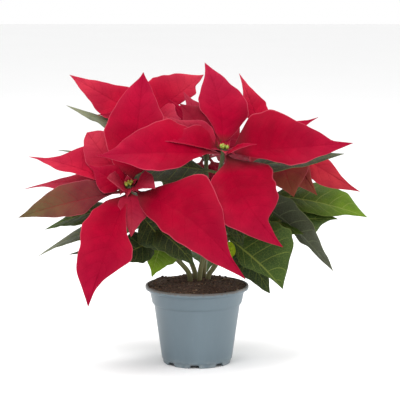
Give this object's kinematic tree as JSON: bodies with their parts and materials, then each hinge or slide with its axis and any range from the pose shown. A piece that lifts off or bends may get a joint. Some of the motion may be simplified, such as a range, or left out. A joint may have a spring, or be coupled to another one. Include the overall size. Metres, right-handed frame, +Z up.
{
  "type": "potted poinsettia",
  "caption": "Poinsettia with heads of red bracts on leafy green stems, standing in soil in a tapered plastic nursery pot with a notched foot.",
  "frame": {"origin": "middle of the pot's foot plane, which is also the middle of the plant's width and depth", "axes": "+Z up, +X to the right of someone facing the plant, and the plant's front faces -Y"},
  "size_m": [0.4046, 0.2747, 0.3464],
  "materials": {
    "pot_plastic": "blue-grey moulded plastic with a soft sheen",
    "peat": null,
    "leaf_green": "soft satin leaf, darker above than below; leather stands in for leaf and green stem",
    "bract_red": "velvety crimson leaf; fabric stands in for thin bract",
    "cyathium_green": "satin yellow-green flower cup; leather stands in for plant tissue"
  },
  "bodies": {
    "root": {"pot": "pot_plastic", "soil": "peat", "stem_front_right": "leaf_green", "bracts_front_right": "bract_red", "cyathia_front_right": "cyathium_green", "stem_front_left": "leaf_green", "bracts_front_left": "bract_red", "cyathia_front_left": "cyathium_green", "stem_back_left": "leaf_green", "bracts_back_left": "bract_red", "cyathia_back_left": "cyathium_green", "stem_back_right": "leaf_green", "bracts_back_right": "bract_red", "cyathia_back_right": "cyathium_green", "stem_back": "leaf_green", "bracts_back": "bract_red", "cyathia_back": "cyathium_green"}
  },
  "joints": []
}
